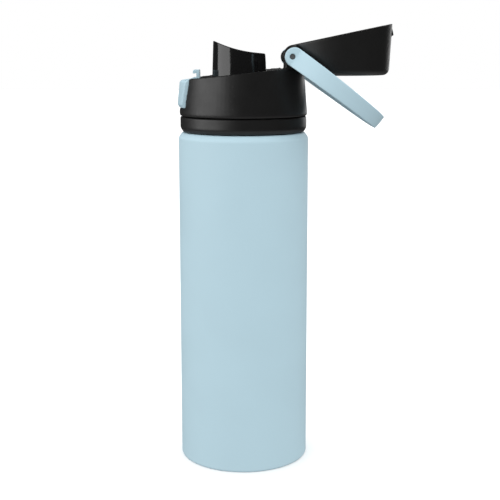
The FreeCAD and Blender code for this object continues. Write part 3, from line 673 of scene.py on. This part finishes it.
def grown(tree: bpy.types.NodeTree, name: str, finish: Finish, start: bpy.types.Mesh | None = None,
          **sizes: object) -> bpy.types.Object:
    """Runs a Geometry Nodes tree and returns its result as a plain object.

    Args:
        tree: The tree.
        name: The object's name.
        finish: The finish that the tree sets.
        start: The mesh that it starts from.
        **sizes: Values by the name of their input, with _ for a space.

    Returns:
        The object.
    """
    item = fresh_object(name, start or bpy.data.meshes.new(name))
    nodes = item.modifiers.new(name, "NODES")
    nodes.node_group = tree
    values = {label.replace("_", " "): value for label, value in sizes.items()}
    values["Material"] = finish.material()
    for socket in tree.interface.items_tree:
        if socket.in_out == "INPUT" and socket.name in values:
            nodes[socket.identifier] = values[socket.name]
    return plain(item)


# Added to a whole number before it is divided and rounded down, so that it can't fall short.
COLUMN_GUARD = 0.5
ROW_GUARD = 0.01

COIL_POINTS_PER_TURN = 32
WIRE_SIDES = 12


def turned_tree() -> bpy.types.NodeTree:
    """Makes the tree that turns a closed outline about Z, as a lathe would.

    The outline is the starting mesh: its points in order, with X as radius and Z as height.

    Returns:
        The tree.
    """
    made = GeometryTree("turned_shell", {"Segments": "NodeSocketInt", "Points": "NodeSocketInt"})
    around = made.calculated("ADD", made.given("Segments"), 1.0)
    along = made.calculated("ADD", made.given("Points"), 1.0)
    grid = made.add("GeometryNodeMeshGrid", Size_X=1.0, Size_Y=1.0, Vertices_X=around, Vertices_Y=along)
    index = made.add("GeometryNodeInputIndex").outputs[0]
    counted = made.calculated("ADD", index, COLUMN_GUARD)
    column = made.calculated("FLOOR", made.calculated("DIVIDE", counted, along))
    row = made.calculated("SUBTRACT", index, made.calculated("MULTIPLY", column, along))
    looped = made.calculated("MODULO", made.calculated("ADD", row, ROW_GUARD), made.given("Points"))
    place = made.add("GeometryNodeInputPosition").outputs[0]
    sample = made.add("GeometryNodeSampleIndex", {"data_type": "FLOAT_VECTOR"},
                      Geometry=made.given("Geometry"), Value=place,
                      Index=made.calculated("FLOOR", looped))
    part_turn = made.calculated("DIVIDE", column, made.given("Segments"))
    angle = made.calculated("MULTIPLY", part_turn, math.tau)
    turn = made.add("ShaderNodeVectorRotate", {"rotation_type": "Z_AXIS"},
                    Vector=sample.outputs["Value"], Angle=angle)
    moved = made.add("GeometryNodeSetPosition", Geometry=grid.outputs["Mesh"], Position=turn.outputs[0])
    joined = made.add("GeometryNodeMergeByDistance", Geometry=moved.outputs[0], Distance=SEAM_GAP)
    return made.close(joined.outputs[0])


def coil_tree() -> bpy.types.NodeTree:
    """Makes the tree that winds a wire into an even coil along Z, capped at both ends.

    Returns:
        The tree.
    """
    made = GeometryTree("wound_coil", {
        "Radius": "NodeSocketFloat", "Wire": "NodeSocketFloat",
        "Length": "NodeSocketFloat", "Turns": "NodeSocketFloat"})
    spiral = made.add("GeometryNodeCurveSpiral", Resolution=COIL_POINTS_PER_TURN,
                      Rotations=made.given("Turns"), Start_Radius=made.given("Radius"),
                      End_Radius=made.given("Radius"), Height=made.given("Length"))
    section = made.add("GeometryNodeCurvePrimitiveCircle", Resolution=WIRE_SIDES,
                       Radius=made.given("Wire"))
    wire = made.add("GeometryNodeCurveToMesh", Curve=spiral.outputs[0],
                    Profile_Curve=section.outputs[0], Fill_Caps=True)
    return made.close(wire.outputs[0])


# ---- Outlines ----------------------------------------------------------------------------------


@dataclass
class Outline:
    """A closed outline in radius and height, with corners that can be rounded."""

    points: list[tuple[float, float]] = field(default_factory=list)

    def corner(self, radius: float, height: float) -> None:
        """Adds a sharp corner."""
        self.points.append((radius, height))

    def rounded(self, radius: float, height: float, start: tuple[float, float],
                end: tuple[float, float], steps: int) -> None:
        """Adds a corner rounded with a curve between two points on its sides.

        Args:
            radius: The corner's radius, before rounding.
            height: The corner's height, before rounding.
            start: Where the rounding starts.
            end: Where it ends.
            steps: How many pieces the curve has.
        """
        for step in range(steps + 1):
            share = step / steps
            weights = ((1 - share) ** 2, 2 * share * (1 - share), share ** 2)
            pairs = (start, (radius, height), end)
            self.points.append(tuple(
                sum(weight * pair[axis] for weight, pair in zip(weights, pairs)) for axis in (0, 1)))

    def mesh(self, name: str) -> bpy.types.Mesh:
        """Makes the outline's points a mesh, with X as radius and Z as height.

        Args:
            name: The mesh's name.

        Returns:
            The mesh.
        """
        made = bpy.data.meshes.new(name)
        made.from_pydata([(radius, 0.0, height) for radius, height in self.points], [], [])
        return made


# ---- Sub-assemblies ----------------------------------------------------------------------------


@dataclass
class InsulatedBody:
    """The powder-coated shell, its base and the bare steel vessel inside it.

    The shoulder slopes between two bends. lower_turn and upper_turn say how far along and up the
    slope each bend reaches, as shares of the bend.
    """

    wall: float = 0.6 * MM
    shoulder_drop: float = 2.8 * MM
    shoulder_inset: float = 2.1 * MM
    base_round: float = 1.3 * MM
    base_lip: float = 3.5 * MM
    bend: float = 1.1 * MM
    lower_turn: tuple[float, float] = (0.6, 0.75)
    upper_turn: tuple[float, float] = (0.55, 0.7)
    least_mouth: float = 27.1 * MM
    foot_steps: int = 8
    shoulder_steps: int = 6
    segments: int = 256

    def outline(self) -> Outline:
        """Draws the shell's wall, from the inner edge of the base lip up to the mouth and back.

        Returns:
            The closed outline, outside first.
        """
        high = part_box("outer_shell")[1]
        radius = high.x
        top = high.z
        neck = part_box("threaded_neck")[1].x
        foot = self.base_round
        lip = radius - self.base_lip
        bend = self.bend
        crown = radius - self.shoulder_inset
        mouth = max(neck, self.least_mouth)
        line = Outline()
        line.corner(lip, 0.0)
        line.rounded(radius, 0.0, (radius - foot, 0.0), (radius, foot), self.foot_steps)
        under = top - self.shoulder_drop
        slope_foot = (radius - bend * self.lower_turn[0], under + bend * self.lower_turn[1])
        slope_head = (crown + bend * self.upper_turn[0], top - bend * self.upper_turn[1])
        line.rounded(radius, under, (radius, under - bend), slope_foot, self.shoulder_steps)
        line.rounded(crown, top, slope_head, (crown - bend, top), self.shoulder_steps)
        line.corner(mouth, top)
        line.corner(mouth, top - self.wall)
        line.corner(crown - bend, top - self.wall)
        line.corner(radius - self.wall, under - bend)
        line.corner(radius - self.wall, foot)
        line.corner(radius - foot, self.wall)
        line.corner(lip, self.wall)
        return line

    def build(self) -> None:
        """Turns the shell and dresses the rest."""
        line = self.outline()
        shell = grown(turned_tree(), "body_shell", POWDER_COAT, line.mesh("body_outline"),
                      Segments=self.segments, Points=len(line.points))
        show(shell, POWDER_COAT, "bottle", "outer_shell")
        keep("base_plate", BARE_STEEL)
        keep("vacuum_plug", SOLDER)
        keep("getter_capsule", BARE_STEEL)
        keep("inner_liner", BARE_STEEL)
        keep("threaded_neck", BARE_STEEL)
        keep("mouth_gasket", SILICONE)


@dataclass
class LidBody:
    """The two black rings of the lid, the slanting deck and what is inside."""

    edge: SoftEdge = SoftEdge(0.48 * MM)

    def build(self) -> None:
        """Softens the rings and dresses the inner disc."""
        softened("lid_collar", BLACK_MOULDING, "lid", self.edge)
        softened("lid_housing", BLACK_MOULDING, "lid", self.edge)
        keep("lid_base", BLACK_MOULDING)
        keep("spout_gasket", SILICONE)


@dataclass
class DrinkingSpout:
    """The glossy oval spout with its hollowed rim."""

    edge: SoftEdge = SoftEdge(0.29 * MM, 6)

    def build(self) -> None:
        """Softens the spout's rim and flange."""
        softened("drinking_spout", GLOSS_BLACK, "lid", self.edge)


@dataclass
class Latch:
    """The push button with its hook, and the spring behind it."""

    edge: SoftEdge = SoftEdge(0.20 * MM, 5)
    wire: float = 0.3 * MM
    turns: float = 4.0
    travel: float = 2.0 * MM

    def spring(self) -> bpy.types.Object:
        """Winds the spring where the CAD spring lies.

        Returns:
            The spring.
        """
        low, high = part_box("latch_spring")
        radius = (high.z - low.z) / 2 - self.wire
        length = high.x - low.x - 2 * self.wire
        coil = grown(coil_tree(), "latch_spring_wire", PIN_STEEL, Radius=radius, Wire=self.wire,
                     Length=length, Turns=self.turns)
        place = Vector((low.x + self.wire, 0.0, (low.z + high.z) / 2))
        lying = Euler((0.0, math.radians(90.0), 0.0)).to_matrix().to_4x4()
        coil.data.transform(Matrix.Translation(place) @ lying)
        return coil

    def build(self) -> None:
        """Softens the button and shows the spring."""
        softened("latch_button", BLUE_MOULDING, "latch", self.edge)
        coil = show(self.spring(), PIN_STEEL, "lid", "latch_spring")
        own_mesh(coil)


@dataclass
class Hinge:
    """The steel pin and the two spacer washers."""

    edge: SoftEdge = SoftEdge(0.14 * MM)

    def build(self) -> None:
        """Softens the pin's ends and the washers."""
        softened("hinge_pin", PIN_STEEL, "lid", self.edge)
        softened("pin_washers", WASHER_NYLON, "lid", self.edge)


@dataclass
class FlipCap:
    """The flip cap, its seal and the ring that carries the seal."""

    edge: SoftEdge = SoftEdge(0.42 * MM)
    inner_edge: SoftEdge = SoftEdge(0.28 * MM)

    def build(self) -> None:
        """Softens the cap and dresses what is in it."""
        softened("cap_shell", BLACK_MOULDING, "cap", self.edge)
        softened("seal_carrier", BLACK_MOULDING, "cap", self.inner_edge)
        softened("spout_seal", SILICONE, "cap", self.inner_edge)


@dataclass
class CarryHandle:
    """The pale blue horseshoe handle, with a moulded groove and a shallow step near its tip."""

    edge: SoftEdge = SoftEdge(0.28 * MM, 6)
    step_from_tip: float = 3.3 * MM
    step_depth: float = 0.15 * MM
    step_width: float = 0.45 * MM
    groove_depth: float = 0.40 * MM

    def step(self, item: bpy.types.Object) -> None:
        """Presses a groove into the outer face, parallel to the end, and draws in the tip past it.

        Args:
            item: The handle, whose mesh is changed.
        """
        corners = item.data.vertices
        low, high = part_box("hinge_pin")
        pin = (low + high) / 2
        middle = sum((corner.co for corner in corners), Vector()) / len(corners)
        forward = Vector((middle.x - pin.x, 0.0, middle.z - pin.z)).normalized()
        reach = max((corner.co - pin).dot(forward) for corner in corners)
        line = reach - self.step_from_tip
        normals = [corner.normal.copy() for corner in corners]
        for corner, normal in zip(corners, normals):
            past = ((corner.co - pin).dot(forward) - line) / self.step_width
            share = min(1.0, max(0.0, past))
            step = self.step_depth * share * share * (3.0 - 2.0 * share)
            groove = self.groove_depth * math.exp(-past * past)
            facing = max(0.0, normal.dot((corner.co - pin).normalized()))
            corner.co -= normal * (step + groove) * facing
        item.data.update()

    def build(self) -> None:
        """Softens the handle and moulds its step."""
        item = self.edge.apply("carry_handle_soft", merged_copy("carry_handle"))
        self.step(item)
        show(item, BLUE_MOULDING, "handle", "carry_handle")


# ---- Studio ------------------------------------------------------------------------------------


@dataclass(frozen=True)
class Panel:
    """A soft light panel: where it hangs, its width and height, and its power in watts."""

    name: str
    place: tuple[float, float, float]
    size: tuple[float, float]
    watts: float


@dataclass
class Studio:
    """A plain pale floor, light from all round, two soft panels and the camera."""

    distance: float = 580.1 * MM
    height: float = 231.2 * MM
    aside: float = -4.87 * MM
    pitch: float = 0.1588
    yaw: float = -0.0187
    lens: float = 73.88
    sensor: float = 36.0
    shift: tuple[float, float] = (-0.0082, -0.064)
    backdrop: float = 1.0
    fill: float = 1.02
    from_left: float = 0.06
    from_above: float = 0.70
    sheen: float = 0.05
    bounce: float = 0.70
    bounce_span: tuple[float, float] = (-0.95, -0.35)
    floor_reach: float = 6.0
    floor_tone: float = 0.92
    floor_roughness: float = 0.9
    floor_specular: float = 0.1
    aim: tuple[float, float, float] = (0.0, 0.0, 0.12)
    panels: tuple[Panel, ...] = (
        Panel("softbox", (-0.84, -0.34, 0.32), (1.10, 0.80), 7.2),
        Panel("back_softbox", (0.45, 1.05, 0.45), (0.70, 0.80), 3.8))

    def camera(self) -> None:
        """Sets the camera that the object is seen with."""
        data = bpy.data.cameras.new("camera")
        data.lens = self.lens
        data.sensor_width = self.sensor
        data.shift_x, data.shift_y = self.shift
        item = bpy.data.objects.new("camera", data)
        item.location = (self.aside, -self.distance, self.height)
        item.rotation_euler = (math.radians(90.0) - self.pitch, 0.0, self.yaw)
        bpy.context.scene.collection.objects.link(item)
        bpy.context.scene.camera = item

    def floor(self) -> None:
        """Lays the floor."""
        mesh = bpy.data.meshes.new("floor")
        reach = self.floor_reach
        corners = [(-reach, -reach, 0), (reach, -reach, 0), (reach, reach, 0), (-reach, reach, 0)]
        mesh.from_pydata(corners, [], [(0, 1, 2, 3)])
        item = fresh_object("floor", mesh)
        paper = bpy.data.materials.new("floor_paper")
        paper.use_nodes = True
        shader = paper.node_tree.nodes["Principled BSDF"]
        shader.inputs["Base Color"].default_value = (*[self.floor_tone] * 3, 1.0)
        shader.inputs["Roughness"].default_value = self.floor_roughness
        shader.inputs["Specular IOR Level"].default_value = self.floor_specular
        mesh.materials.append(paper)
        item.visible_diffuse = False
        item.visible_glossy = False

    def hang(self, panel: Panel) -> None:
        """Hangs a soft light panel that shows in glossy surfaces only.

        Args:
            panel: The panel, which is turned towards the aim.
        """
        data = bpy.data.lights.new(panel.name, "AREA")
        data.shape = "RECTANGLE"
        data.size, data.size_y = panel.size
        data.energy = panel.watts
        item = bpy.data.objects.new(panel.name, data)
        item.location = panel.place
        item.visible_diffuse = False
        toward = Vector(self.aim) - Vector(panel.place)
        item.rotation_euler = toward.to_track_quat("-Z", "Y").to_euler()
        bpy.context.scene.collection.objects.link(item)

    def surroundings(self) -> None:
        """Lights the scene from all round, more from the left and from above, on a white backdrop.

        Glossy surfaces see dark walls, and pale light that the table throws up from below.
        """
        world = bpy.data.worlds.new("studio")
        world.use_nodes = True
        bpy.context.scene.world = world
        board = NodeBoard(world.node_tree)
        seen = world.node_tree.nodes["Background"]
        seen.inputs["Color"].default_value = (1.0, 1.0, 1.0, 1.0)
        toward = board.add("ShaderNodeSeparateXYZ")
        board.join(board.add("ShaderNodeTexCoord").outputs["Generated"], toward.inputs[0])
        across, upward = toward.outputs["X"], toward.outputs["Z"]
        matt = board.ramp(upward, (-1.0, 1.0), (1.0 - self.from_above, 1.0 + self.from_above))
        left = board.ramp(across, (-1.0, 1.0), (1.0 + self.from_left, 1.0 - self.from_left))
        lit = board.product(board.product(matt, left), self.fill)
        gloss = board.ramp(upward, self.bounce_span, (self.bounce, self.sheen))
        path = board.add("ShaderNodeLightPath")
        around = board.chosen(path.outputs["Is Glossy Ray"], lit, gloss)
        board.join(board.chosen(path.outputs["Is Camera Ray"], around, self.backdrop),
                   seen.inputs["Strength"])

    def build(self) -> None:
        """Sets up the floor, the lights and the camera."""
        scene = bpy.context.scene
        scene.view_settings.view_transform = "Standard"
        self.floor()
        self.surroundings()
        for panel in self.panels:
            self.hang(panel)
        self.camera()


# ---- Build -------------------------------------------------------------------------------------


def main() -> None:
    """Builds every sub-assembly in order and sets up the studio."""
    logging.basicConfig(level=logging.INFO, format="%(name)s: %(message)s")
    for part in (InsulatedBody(), LidBody(), DrinkingSpout(), Latch(), Hinge(), FlipCap(),
                 CarryHandle()):
        log.info("building %s", type(part).__name__)
        part.build()
    Studio().build()


if __name__ == "__main__":
    main()
